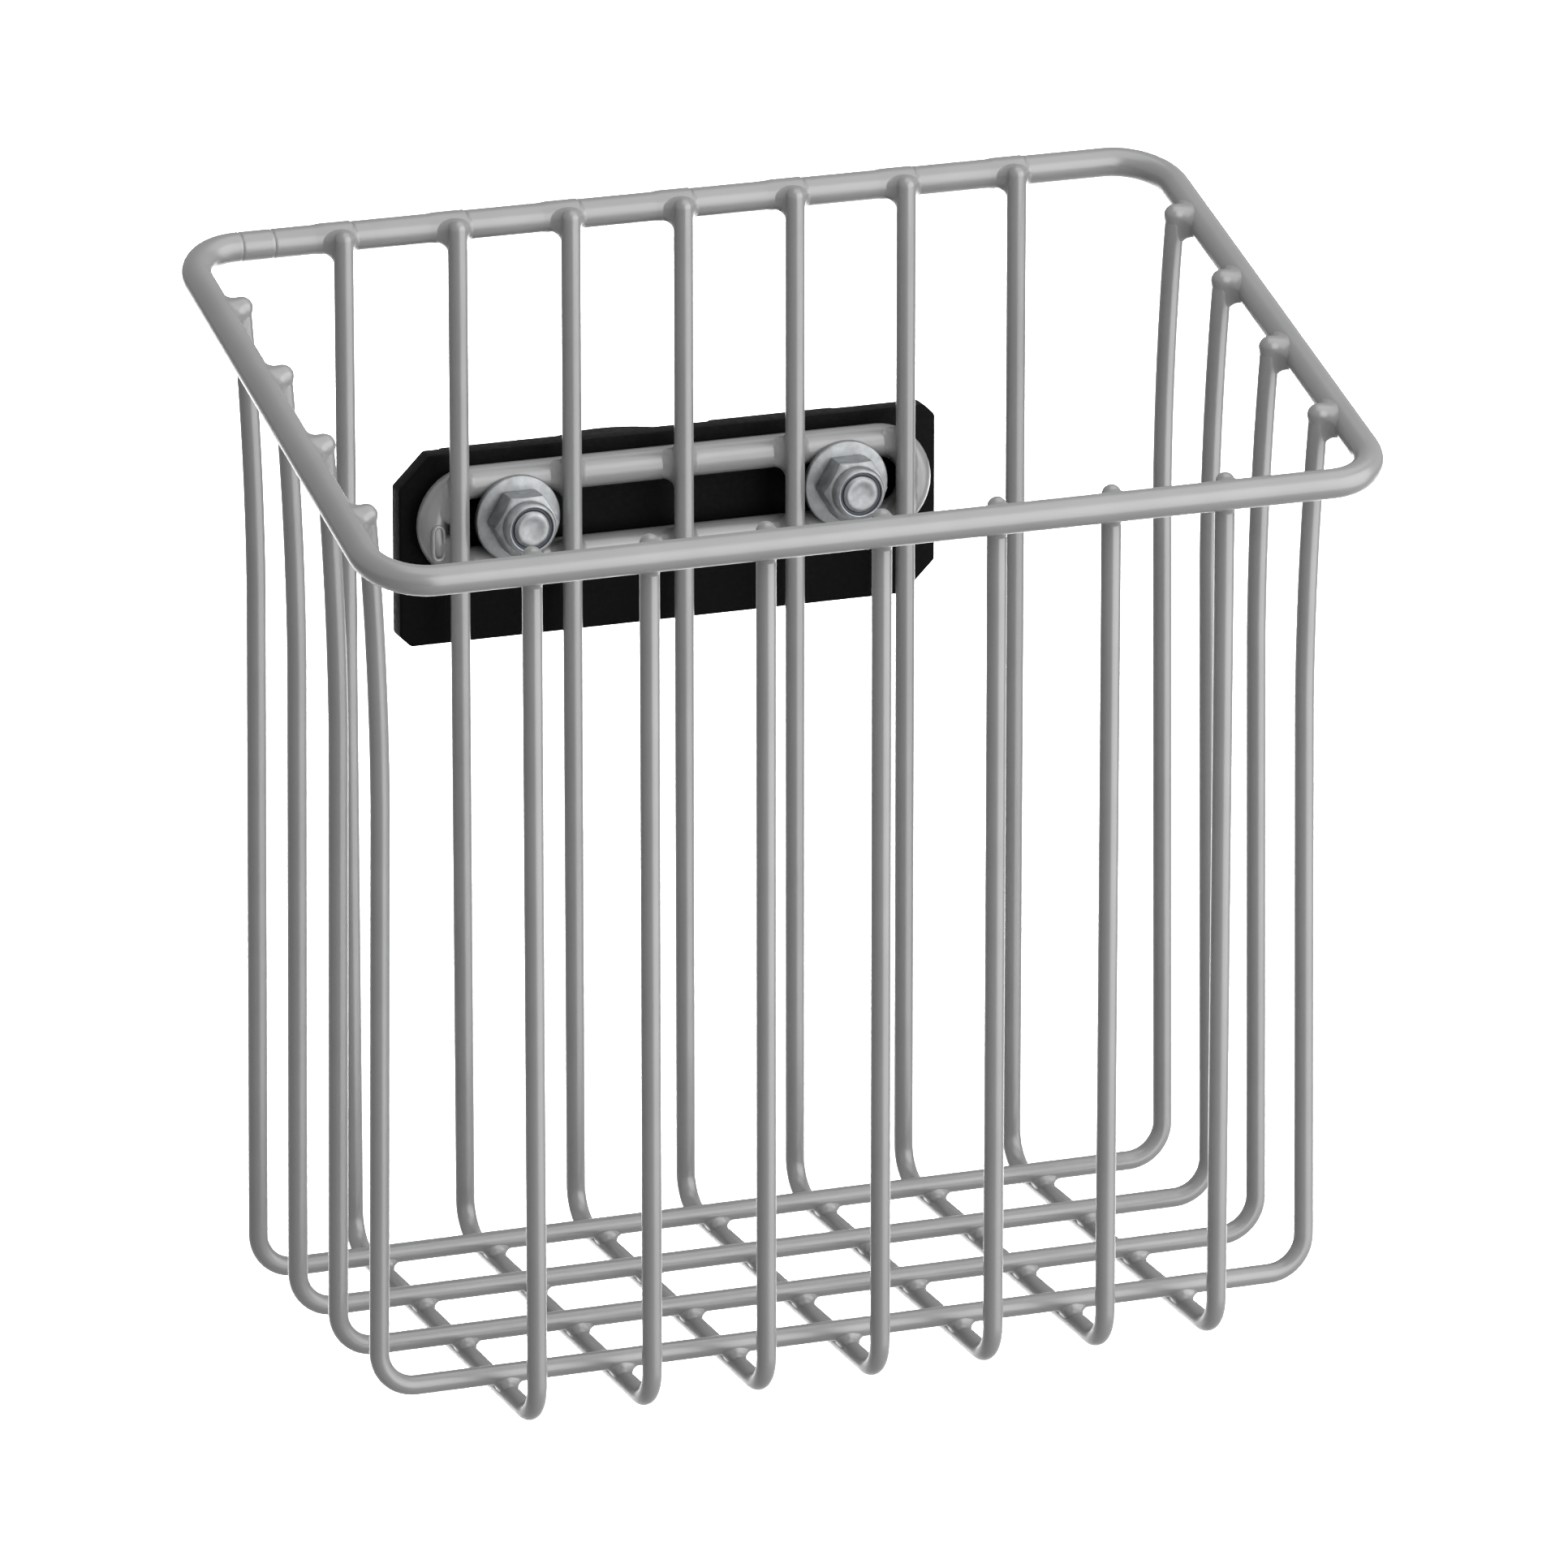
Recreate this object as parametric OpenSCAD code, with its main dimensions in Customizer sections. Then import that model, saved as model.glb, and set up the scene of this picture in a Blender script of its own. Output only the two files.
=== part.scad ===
// Blood pressure cuff basket: a welded wire basket with a slanted rim and a two-jaw pole clamp.
// Millimetres. X is the width, -Y the front, +Z up.
// The origin is on the axis of the clamp bore, at the mid height of the jaws.

/* [Rods and wires] */
// Diameter of the coated basket wires
wire_d = 4.2; // [3.5:0.1:5]
// Diameter of the coated rim rod
rim_d = 6.35; // [5:0.05:8]
// Diameter of the coated mounting loop rod
loop_d = 7.14; // [6:0.02:8]
// Depth that a weld sinks one wire into the other
weld_sink = 0.2; // [0.05:0.05:0.3]

/* [Front-to-back wires] */
// Distance between neighbouring front-to-back wires
wire_pitch = 25.4; // [23.5:0.1:28]
// Centre-line radius of their bottom bends
wire_bend_r = 7.5; // [6:0.5:14]
// How far the rounded rear ends stand above the rim's centre
rear_end_rise = 2.6; // [0:0.1:4]
// How far the rounded front ends stand above the rim's centre
front_end_rise = 3.4; // [0:0.1:5]

/* [Side-to-side wires] */
// Distance between neighbouring side-to-side wires
side_pitch = 26.2; // [22:0.1:30]
// Distance from the rear and front legs to the nearest side-to-side wire
side_end_gap = 18.8; // [16:0.1:22]
// Width between the legs of a side-to-side wire at the bottom, centre to centre
side_width = 208.4; // [198:0.2:230]
// Centre-line radius of their bottom bends
side_bend_r = 8; // [6:0.5:14]
// How far each leg leans inward on its way up to the flare
side_waist = 1.4; // [0.5:0.1:2]
// How far each leg flares outward again at the rim
side_flare = 2.4; // [1:0.1:3]
// Length of each leg's flare below the rim
flare_len = 62; // [40:1:80]
// How far the rounded ends stand above the rim's centre
side_end_rise = 2.8; // [0:0.1:4]

/* [Rim] */
// Height of the rim's centre at the back, above the plane that the basket stands on
rear_rim_h = 225.3; // [215:0.2:250]
// Height of the rim's centre at the front
front_rim_h = 187.5; // [170:0.2:205]
// Centre-line radius of the rim's corners
rim_corner_r = 12; // [9:0.5:20]

/* [Mounting loop] */
// Height of the loop's centre above the plane that the basket stands on
loop_h = 159.5; // [140:0.2:170]
// Outer length of the loop
loop_len = 117; // [112:0.5:125]
// Distance between the loop's two straight rods, centre to centre
loop_rod_gap = 17.9; // [15.5:0.1:19]

/* [Loop bolts] */
// Diameter of the two hex bolts that hold the basket to the front jaw
bolt_d = 7.94; // [7.5:0.02:8]
// Length of each hex bolt under its head
bolt_len = 31.75; // [30:0.25:33]
// Width across the flats of the bolt heads and the nuts
hex_af = 12.7; // [12.2:0.1:12.8]
// Height of a bolt head
head_h = 5.2; // [4.8:0.1:5.6]
// Outer diameter of the flat washers
washer_d = 19.05; // [18:0.05:19.2]
// Hole of the flat washers
washer_hole_d = 8.75; // [8.65:0.05:9.5]
// Thickness of the flat washers
washer_t = 1.65; // [1.2:0.05:2]
// Gap between each washer and the front-to-back wire on its inner side
washer_side_gap = 0.375; // [0.3:0.025:2]
// Height of the nut's hexagon
nut_hex_h = 6; // [5.5:0.1:6.5]
// Height of the round collar on the nut
nut_collar_h = 2.6; // [2.4:0.1:2.8]
// Outer diameter of the collar
nut_collar_d = 11.4; // [11:0.1:11.8]
// Outer diameter of the nylon ring held in the collar
ring_d = 9.8; // [9.4:0.1:10]
// Thickness of the nylon ring
ring_t = 2.2; // [1.8:0.1:2.3]

/* [Clamp jaws] */
// Diameter of the pole that the clamp grips
pole_d = 33.4; // [31:0.1:34]
// Gap left between the two jaws when they grip the pole
jaw_gap = 4; // [2:0.5:5]
// Width of the front jaw's plate
plate_w = 122.5; // [118:0.5:126]
// Height of the front jaw's plate
plate_h = 42; // [40:0.5:46]
// Thickness of the front jaw's plate
plate_t = 5; // [4:0.1:5.5]
// Wall of the front jaw between its front face and the pole
front_wall = 5.9; // [5.6:0.1:7]
// How far the middle of the jaws lies below the middle of the loop
jaw_drop = 6.4; // [5:0.1:7]
// Width of the front jaw's body behind the plate
boss_w = 96; // [92:0.5:104]
// Height of the front jaw's body behind the plate
boss_h = 33; // [32:0.5:36]
// Cut of the two large corners of the plate
plate_corner_big = 7; // [5:0.5:9]
// Cut of the two small corners of the plate
plate_corner_small = 2.5; // [1:0.5:4]
// Cut of the corners of the front jaw's body
boss_corner = 3; // [1:0.5:5]
// Wall of the rear jaw's ears outside the recesses for the screw heads
ear_margin = 4.4; // [3:0.1:8]
// Height of the rear jaw
rear_jaw_h = 20; // [16:0.5:22]
// Depth of the rear jaw's ears, from the face beside the gap
ear_depth = 12; // [11:0.5:14]
// Wall of the rear jaw behind the pole
rear_wall = 5.6; // [4:0.1:8]

/* [Clamp screws] */
// Distance between the two clamp screws
screw_spacing = 53; // [51:0.5:56]
// Thread diameter of the clamp screws
screw_d = 6.35; // [6:0.05:6.5]
// Length of a clamp screw under its head
screw_len = 20; // [18:0.5:22]
// Diameter of the socket head
screw_head_d = 9.5; // [9:0.1:10]
// Height of the socket head
screw_head_h = 6.35; // [6:0.05:6.5]
// Width across the flats of the hex socket
socket_af = 4.76; // [4:0.01:5]
// Depth of the hex socket
socket_depth = 3.2; // [2.5:0.1:3.5]
// Outer diameter of the brass inserts
insert_d = 8.4; // [8:0.1:9]
// Length of the brass inserts
insert_len = 12; // [10:0.5:13]

/* [Fits] */
// Radial clearance of a thread in its nut or insert
thread_fit = 0.06; // [0.02:0.01:0.09]
// Radial clearance of a bolt or screw in a plain hole
hole_fit = 0.35; // [0.3:0.05:0.5]
// Clearance round a hexagon in its pocket, at each flat
pocket_fit = 0.15; // [0.1:0.05:0.3]
// Gap between the loop's upper rod and the bolts that carry it
seat_gap = 0.1; // [0.05:0.05:0.2]

/* [Hidden] */

$fn = 64;
hexagon = 6;

// Number of wires each way
wire_count = 7;
side_count = 4;

steel_grey = "#8f8e88";
zinc_grey = "#b4bac0";
jaw_black = "#1b1b1d";
screw_black = "#2a2a2c";
ring_slate = "#4a4f58";
brass_yellow = "#b8923f";

// Each straight of a leg is this much thinner in radius than what it grows from, and starts this
// far inside it
leg_step = 0.03;
leg_root = 0.3;

wire_r = wire_d / 2;
rim_r = rim_d / 2;
loop_r = loop_d / 2;
pole_r = pole_d / 2;

// Planes across the depth, from the clamp's axis forward
front_face_y = -(pole_r + front_wall);
loop_y = front_face_y - loop_r;
rear_leg_y = loop_y - loop_r - wire_r + weld_sink;
basket_depth = 2 * side_end_gap + (side_count - 1) * side_pitch;
front_leg_y = rear_leg_y - basket_depth;
rim_offset = wire_r + rim_r - weld_sink;
rear_rim_y = rear_leg_y + rim_offset;
front_rim_y = front_leg_y - rim_offset;

// Heights, from the clamp's mid height
loop_z = jaw_drop;
floor_z = loop_z - loop_h;
wire_bottom_z = floor_z + wire_r;
side_bottom_z = wire_bottom_z + wire_d - weld_sink;
rear_rim_z = floor_z + rear_rim_h;
front_rim_z = floor_z + front_rim_h;

// The rim lies in one slanted plane
rim_run = rear_rim_y - front_rim_y;
rim_rise = rear_rim_z - front_rim_z;
rim_slope = atan2(rim_rise, rim_run);
rim_depth = to_hundredth(norm([rim_run, rim_rise]));
rim_half_w = side_width / 2 - side_waist + side_flare + rim_offset;

// The loop's straight rods hang on the bolts, whose washers lie just outside the wires next to the middle one
loop_end_r = loop_rod_gap / 2;
loop_half_straight = loop_len / 2 - loop_r - loop_end_r;
bolt_x = wire_pitch + wire_r + washer_side_gap + washer_d / 2;
bolt_z = loop_z + loop_end_r - loop_r - bolt_d / 2 - seat_gap;

// The washer and the nut stand on the front of the loop, and the bolt's end stands out of the nut
washer_y = loop_y - loop_r - washer_t;
nut_h = nut_hex_h + nut_collar_h;
bolt_tip_stand = 0.4;
bolt_tip_y = washer_y - nut_h - bolt_tip_stand;
bolt_seat_y = bolt_tip_y + bolt_len;

// Chamfer of a bolt's or screw's end, and of the nut's corners
bolt_chamfer = 0.5;
hex_chamfer = 0.7;

// The jaws meet the pole on each side of the clamp's axis
front_jaw_back_y = -jaw_gap / 2;
rear_jaw_front_y = jaw_gap / 2;
ear_back_y = rear_jaw_front_y + ear_depth;
hump_r = pole_r + rear_wall;
screw_x = screw_spacing / 2;
head_recess_r = screw_head_d / 2 + hole_fit;
rear_jaw_w = screw_spacing + 2 * head_recess_r + 2 * ear_margin;
screw_seat_y = ear_back_y - screw_head_h;
screw_tip_y = screw_seat_y - screw_len;

// How far a cut runs on past the face that it opens
cut_over = 1;

function to_hundredth(v) = round(v * 100) / 100;
function rim_z_at(y) = to_hundredth(front_rim_z + (y - front_rim_y) * rim_rise / rim_run);
function wire_x(number) = (number - (wire_count + 1) / 2) * wire_pitch;
function side_y(number) = rear_leg_y - side_end_gap - (number - 1) * side_pitch;

// A quarter bend that starts at the origin along +X and turns up
module quarter_bend(bend_r, rod_r) {
    translate([0, bend_r, 0])
        rotate([0, 0, -90])
            rotate_extrude(angle = 90)
                translate([bend_r, 0])
                    circle(r = rod_r);
}

// A leg through a list of points, from inside a bend to its rounded end
module leg(points, rod_r) {
    last = len(points) - 1;
    for (i = [1 : last]) {
        run = points[i] - points[i - 1];
        straight = to_hundredth(norm(run));
        r = rod_r - i * leg_step;
        translate([points[i - 1].x, points[i - 1].y, 0])
            rotate([-90, 0, -atan2(run.x, run.y)]) {
                translate([0, 0, -leg_root])
                    cylinder(h = straight + leg_root, r = r);
                if (i == last)
                    translate([0, 0, straight])
                        sphere(r = r);
            }
    }
}

// A U of rod whose bottom lies on the X axis, with each leg's points counted from its bend
module u_wire(width, left_leg, right_leg, bend_r, rod_r) {
    half_straight = width / 2 - bend_r;
    rotate([0, 90, 0])
        cylinder(h = 2 * half_straight, r = rod_r, center = true);
    for (side = [[0, right_leg], [1, left_leg]]) {
        mirror([side[0], 0, 0])
            translate([half_straight, 0, 0]) {
                quarter_bend(bend_r, rod_r);
                translate([bend_r, bend_r, 0])
                    leg(side[1], rod_r);
            }
    }
}

// A closed rounded rectangle of rod, lying flat round the origin
module rod_loop(half_w, half_d, corner_r, rod_r) {
    for (mirror_x = [0, 1]) {
        mirror([mirror_x, 0, 0]) {
            translate([half_w, 0, 0])
                rotate([90, 0, 0])
                    cylinder(h = 2 * (half_d - corner_r), r = rod_r, center = true);
            for (mirror_y = [0, 1]) {
                mirror([0, mirror_y, 0])
                    translate([half_w - corner_r, half_d - corner_r, 0])
                        rotate_extrude(angle = 90)
                            translate([corner_r, 0])
                                circle(r = rod_r);
            }
        }
    }
    for (mirror_y = [0, 1]) {
        mirror([0, mirror_y, 0])
            translate([0, half_d, 0])
                rotate([0, 90, 0])
                    cylinder(h = 2 * (half_w - corner_r), r = rod_r, center = true);
    }
}

// A hexagonal prism with its flats at the top and bottom, from y to y + h
module hex_prism(af, y, h) {
    translate([0, y, 0])
        rotate([-90, 0, 0])
            cylinder(h = h, r = af / sqrt(3), $fn = hexagon);
}

// A round rod along Y, from y to y + h
module y_rod(r, y, h) {
    translate([0, y, 0])
        rotate([-90, 0, 0])
            cylinder(h = h, r = r);
}

// A cone along Y, from radius r1 at y to radius r2 at y + h
module y_cone(r1, r2, y, h) {
    translate([0, y, 0])
        rotate([-90, 0, 0])
            cylinder(h = h, r1 = r1, r2 = r2);
}

// A plate outline in X and Z with its corners cut, extruded along Y
module cut_plate(w, h, cut_a, cut_b, y, t) {
    x = w / 2;
    z = h / 2;
    translate([0, y + t, 0])
        rotate([90, 0, 0])
            linear_extrude(height = t)
                polygon([
                    [-x + cut_a, z],
                    [x - cut_b, z],
                    [x, z - cut_b],
                    [x, -z + cut_a],
                    [x - cut_a, -z],
                    [-x + cut_b, -z],
                    [-x, -z + cut_b],
                    [-x, z - cut_a]
                ]);
}

module rim_hoop() {
    color(steel_grey)
        translate([0, (rear_rim_y + front_rim_y) / 2, (rear_rim_z + front_rim_z) / 2])
            rotate([rim_slope, 0, 0])
                rod_loop(rim_half_w, rim_depth / 2, rim_corner_r, rim_r);
}

// The U is drawn in X and Y, then stood up across the depth with its rear leg on the right
module front_back_wire(number) {
    bend_top_z = wire_bottom_z + wire_bend_r;
    rear_h = rim_z_at(rear_rim_y) + rear_end_rise - wire_r - bend_top_z;
    front_h = rim_z_at(front_rim_y) + front_end_rise - wire_r - bend_top_z;
    color(steel_grey)
        translate([wire_x(number), (rear_leg_y + front_leg_y) / 2, wire_bottom_z])
            rotate([90, 0, 90])
                u_wire(basket_depth, [[0, 0], [0, front_h]], [[0, 0], [0, rear_h]], wire_bend_r, wire_r);
}

// The U is drawn in X and Y, then stood up across the width
module side_wire(number) {
    y = side_y(number);
    leg_h = rim_z_at(y) + side_end_rise - wire_r - side_bottom_z - side_bend_r;
    leg_points = [
        [0, 0],
        [-side_waist, leg_h - flare_len],
        [side_flare - side_waist, leg_h]
    ];
    color(steel_grey)
        translate([0, y, side_bottom_z])
            rotate([90, 0, 0])
                u_wire(side_width, leg_points, leg_points, side_bend_r, wire_r);
}

module mounting_loop() {
    color(steel_grey)
        translate([0, loop_y, loop_z])
            rotate([90, 0, 0]) {
                for (side = [-1, 1]) {
                    translate([0, side * loop_end_r, 0])
                        rotate([0, 90, 0])
                            cylinder(h = 2 * loop_half_straight, r = loop_r, center = true);
                }
                for (turn = [0, 180]) {
                    rotate([0, 0, turn])
                        translate([loop_half_straight, 0, 0])
                            rotate([0, 0, -90])
                                rotate_extrude(angle = 180)
                                    translate([loop_end_r, 0])
                                        circle(r = loop_r);
                }
            }
}

// Draws its children at both bolts
module at_bolts() {
    for (side = [-1, 1]) {
        translate([side * bolt_x, 0, bolt_z])
            children();
    }
}

// Draws its children at both clamp screws
module at_screws() {
    for (side = [-1, 1]) {
        translate([side * screw_x, 0, 0])
            children();
    }
}

module front_jaw() {
    pocket_depth = front_jaw_back_y - bolt_seat_y;
    color(jaw_black)
        difference() {
            union() {
                cut_plate(plate_w, plate_h, plate_corner_big, plate_corner_small, front_face_y, plate_t);
                cut_plate(boss_w, boss_h, boss_corner, boss_corner, front_face_y,
                    front_jaw_back_y - front_face_y);
            }
            cylinder(h = plate_h + 2 * cut_over, r = pole_r, center = true);
            at_bolts() {
                y_rod(bolt_d / 2 + hole_fit, front_face_y - cut_over, pole_d);
                hex_prism(hex_af + 2 * pocket_fit, bolt_seat_y, pocket_depth + cut_over);
            }
            at_screws()
                y_rod(insert_d / 2, front_jaw_back_y - insert_len, insert_len + cut_over);
        }
}

module rear_jaw() {
    color(jaw_black)
        difference() {
            translate([0, 0, -rear_jaw_h / 2])
                linear_extrude(height = rear_jaw_h)
                    difference() {
                        union() {
                            translate([-rear_jaw_w / 2, rear_jaw_front_y])
                                square([rear_jaw_w, ear_depth]);
                            intersection() {
                                circle(r = hump_r);
                                translate([-hump_r, rear_jaw_front_y])
                                    square([2 * hump_r, hump_r]);
                            }
                        }
                        circle(r = pole_r);
                    }
            at_screws() {
                y_rod(screw_d / 2 + hole_fit, rear_jaw_front_y - cut_over, ear_depth);
                y_rod(head_recess_r, screw_seat_y, screw_head_h + cut_over);
            }
        }
}

module loop_bolts() {
    color(zinc_grey)
        at_bolts() {
            hex_prism(hex_af, bolt_seat_y, head_h);
            y_rod(bolt_d / 2, bolt_tip_y + bolt_chamfer, bolt_len - bolt_chamfer);
            y_cone(bolt_d / 2 - bolt_chamfer, bolt_d / 2, bolt_tip_y, bolt_chamfer);
        }
}

module flat_washers() {
    color(zinc_grey)
        at_bolts()
            difference() {
                y_rod(washer_d / 2, washer_y, washer_t);
                y_rod(washer_hole_d / 2, washer_y - cut_over, washer_t + 2 * cut_over);
            }
}

module lock_nuts() {
    hex_y = washer_y - nut_hex_h;
    collar_y = hex_y - nut_collar_h;
    corner_r = hex_af / sqrt(3);
    color(zinc_grey)
        at_bolts()
            difference() {
                union() {
                    intersection() {
                        hex_prism(hex_af, hex_y, nut_hex_h);
                        y_cone(corner_r - hex_chamfer, corner_r - hex_chamfer + nut_hex_h, hex_y, nut_hex_h);
                    }
                    y_rod(nut_collar_d / 2, collar_y, nut_collar_h);
                }
                y_rod(bolt_d / 2 + thread_fit, collar_y - cut_over, nut_h + 2 * cut_over);
                y_rod(ring_d / 2, collar_y - cut_over, ring_t + cut_over);
            }
}

module nylon_rings() {
    collar_y = washer_y - nut_h;
    color(ring_slate)
        at_bolts()
            difference() {
                y_rod(ring_d / 2, collar_y, ring_t);
                y_rod(bolt_d / 2 + thread_fit, collar_y - cut_over, ring_t + 2 * cut_over);
            }
}

module threaded_inserts() {
    color(brass_yellow)
        at_screws()
            difference() {
                y_rod(insert_d / 2, front_jaw_back_y - insert_len, insert_len);
                y_rod(screw_d / 2 + thread_fit, front_jaw_back_y - insert_len - cut_over,
                    insert_len + 2 * cut_over);
            }
}

// One socket head screw, at its own place along Y
module clamp_screw(side) {
    color(screw_black)
        translate([side * screw_x, 0, 0])
            difference() {
                union() {
                    y_rod(screw_head_d / 2, screw_seat_y, screw_head_h);
                    y_rod(screw_d / 2, screw_tip_y + bolt_chamfer, screw_len - bolt_chamfer);
                    y_cone(screw_d / 2 - bolt_chamfer, screw_d / 2, screw_tip_y, bolt_chamfer);
                }
                hex_prism(socket_af, ear_back_y - socket_depth, socket_depth + cut_over);
            }
}

rim_hoop();
front_back_wire(1);  // front_back_wire_1
front_back_wire(2);  // front_back_wire_2
front_back_wire(3);  // front_back_wire_3
front_back_wire(4);  // front_back_wire_4
front_back_wire(5);  // front_back_wire_5
front_back_wire(6);  // front_back_wire_6
front_back_wire(7);  // front_back_wire_7
side_wire(1);  // side_wire_1
side_wire(2);  // side_wire_2
side_wire(3);  // side_wire_3
side_wire(4);  // side_wire_4
mounting_loop();
front_jaw();
rear_jaw();
loop_bolts();
flat_washers();
lock_nuts();
nylon_rings();
threaded_inserts();
clamp_screw(-1);  // left_clamp_screw
clamp_screw(1);  // right_clamp_screw
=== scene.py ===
import math

import bpy
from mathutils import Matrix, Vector


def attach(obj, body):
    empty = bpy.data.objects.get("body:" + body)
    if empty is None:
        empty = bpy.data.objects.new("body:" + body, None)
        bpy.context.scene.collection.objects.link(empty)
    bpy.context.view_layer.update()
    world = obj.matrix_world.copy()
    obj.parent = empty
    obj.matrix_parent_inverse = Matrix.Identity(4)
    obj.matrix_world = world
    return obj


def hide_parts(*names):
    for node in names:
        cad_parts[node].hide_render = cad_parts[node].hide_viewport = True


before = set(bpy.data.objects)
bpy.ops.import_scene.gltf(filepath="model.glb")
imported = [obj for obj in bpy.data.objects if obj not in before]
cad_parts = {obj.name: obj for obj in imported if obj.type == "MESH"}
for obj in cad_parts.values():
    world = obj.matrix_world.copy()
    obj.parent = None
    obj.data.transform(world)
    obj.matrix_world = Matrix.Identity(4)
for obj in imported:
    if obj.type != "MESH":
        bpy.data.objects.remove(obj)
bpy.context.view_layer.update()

# Sizes in millimetres, the same as the part's own, in its frame: -Y front, +Z up, origin on the clamp's axis
WIRE_R = 2.1
RIM_R = 3.175
LOOP_R = 3.57
WELD_SINK = 0.2
WIRE_PITCH = 25.4
WIRE_BEND_R = 7.5
SIDE_BEND_R = 8.0
REAR_LEG_Y = -31.64
FRONT_LEG_Y = -147.84
FIRST_SIDE_Y = -50.44
SIDE_PITCH = 26.2
FLOOR_Z = -153.1
FRONT_BACK_Z = FLOOR_Z + WIRE_R
SIDE_BOTTOM_Z = FRONT_BACK_Z + 2 * WIRE_R - WELD_SINK
REAR_TOP_Z = 72.7
FRONT_TOP_Z = 35.7
SIDE_HALF_BOTTOM = 104.2
SIDE_HALF_WAIST = 102.8
SIDE_HALF_TOP = 105.2
FLARE_LEN = 62.0
FLARE_STEPS = 10
SIDE_END_RISE = 0.7

# The slanted rim: its centre, half sizes, corner radius and slope
RIM_CENTRE = Vector((0.0, -89.74, 53.3))
RIM_HALF_W = 110.275
RIM_HALF_D = 65.94
RIM_CORNER_R = 12.0
RIM_SLOPE = math.radians(16.655)

# The mounting loop behind the rear legs
LOOP_Y = -26.17
LOOP_Z = 6.4
LOOP_END_R = 8.95
LOOP_HALF_STRAIGHT = 45.98
LOOP_END_STEPS = 24

# The oval weld bead on the loop's left end: its own radius, its half sizes and its place
BEAD_R = 0.45
BEAD_HALF_W = 1.2
BEAD_HALF_H = 3.7
BEAD_PLACE = (-54.9, LOOP_Y - LOOP_R + 0.05, 3.6)

# How far the coating fills each kind of corner: the radius of a ball that would just fit in it
FLOOR_WEB_R = 1.1
RIM_WEB_R = 2.2
LOOP_WEB_R = 2.0
LOOP_END_WEB_R = 1.8

# How deep that filling lies under the wires' own surface, how far it reaches past the corner, how much
# stouter than the leg the cap on a side leg's end is, and the arc of the loop's end that it follows
WEB_SINK = 0.08
WEB_MARGIN = 0.5
CAP_SWELLING = 0.5
END_ARC = 35

# How finely that filling is modelled: the grown rods' sides, the grain of the two remeshings and the faces
STOUT_SIDES = 24
GROWN_GRAIN = 0.4
SHRUNK_GRAIN = 0.3
FLOOR_WEB_FACES = 1400
LARGE_WEB_FACES = 2200
LOOP_END_WEB_FACES = 1800

# Marks in the coating of the rim's rear run: two fine seams, and at each weld a swelling with a groove
# beside it. The swelling's steps are places beside the weld and the share of its height reached there
SEAM_XS = (-97.6, -90.5)
SEAM_W = 0.35
SEAM_DEPTH = 0.15
SWELLING = 0.18
SWELLING_STEPS = ((-5.5, 0.0), (-5.0, 0.0), (-3.6, 1.0), (-3.0, 1.0))
GROOVE_GAP = 1.3

# The bolts, washers and lock nuts that hold the loop
BOLT_X = 37.4
BOLT_Z = 7.71
BOLT_R = 3.97
BOLT_TIP_Y = -40.39
BOLT_SEAT_Y = -8.64
BOLT_PITCH = 1.41
BOLT_PLAIN_Y = -20.0
HEAD_H = 5.2
HEX_AF = 12.7
WASHER_R = 9.525
WASHER_HOLE_R = 4.375
WASHER_FRONT_Y = -31.39
WASHER_BACK_Y = -29.74
NUT_HEX_Y = -37.39
NUT_EDGE = 0.12
COLLAR_Y = -39.99
COLLAR_R = 5.7
RING_R = 4.9
RING_T = 2.2
THREAD_FIT = 0.06

# The two jaws, with the cuts of their corners, their rounded edges and the room round bolts and screws
POLE_R = 16.7
JAW_FACE_Y = -22.6
JAW_BACK_Y = -2.0
PLATE_W = 122.5
PLATE_H = 42.0
PLATE_T = 5.0
BODY_W = 96.0
BODY_H = 33.0
REAR_JAW_W = 72.0
REAR_JAW_H = 20.0
EAR_FRONT_Y = 2.0
EAR_BACK_Y = 14.0
HUMP_R = 22.3
PLATE_BIG_CUT = 7.0
PLATE_SMALL_CUT = 2.5
BODY_CUT = 3.0
FRONT_JAW_EDGE = 0.5
REAR_JAW_EDGE = 0.8
HOLE_ROOM = 0.35
POCKET_ROOM = 0.3
BORE_LEN = 60

# The clamp screws and their inserts
SCREW_X = 26.5
SCREW_R = 3.175
SCREW_HEAD_R = 4.75
SCREW_SEAT_Y = 7.65
SEAT_GAP = 0.02
SCREW_TIP_Y = -12.35
SCREW_PITCH = 1.27
SCREW_PLAIN_Y = 6.0
SOCKET_AF = 4.76
SOCKET_DEPTH = 3.2
INSERT_R = 4.2
INSERT_LEN = 12.0

ROD_SIDES = 32
BEND_STEPS = 12
DOME_STEPS = 6

X = Vector((1, 0, 0))
Y = Vector((0, 1, 0))
Z = Vector((0, 0, 1))


def metres(point):
    return Vector(point) * 0.001


# Modelling steps, in millimetres

def start_ring(name, centre, along, r, sides=ROD_SIDES):
    """A new piece that starts as a ring of vertices round a direction, left in edit mode"""
    bpy.ops.object.select_all(action="DESELECT")
    turn = Z.rotation_difference(along).to_euler()
    bpy.ops.mesh.primitive_circle_add(vertices=sides, radius=r / 1000, location=metres(centre), rotation=turn)
    piece = bpy.context.object
    piece.name = name
    bpy.ops.object.transform_apply(location=True, rotation=True, scale=True)
    bpy.ops.object.mode_set(mode="EDIT")
    bpy.ops.mesh.select_mode(type="VERT")
    bpy.ops.mesh.select_all(action="SELECT")
    return piece


def push(by):
    """Extrudes the selected ring by a vector"""
    bpy.ops.mesh.extrude_region_move(TRANSFORM_OT_translate={"value": metres(by)})


def widen(factor, centre):
    """Scales the selected ring about a point"""
    bpy.ops.transform.resize(value=(factor, factor, factor), center_override=metres(centre))


def bend(degrees, centre, axis, steps=BEND_STEPS):
    """Sweeps the selected ring round an axis, by the right-hand rule"""
    bpy.ops.mesh.spin(steps=steps, angle=math.radians(-degrees), center=metres(centre), axis=axis)


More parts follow.
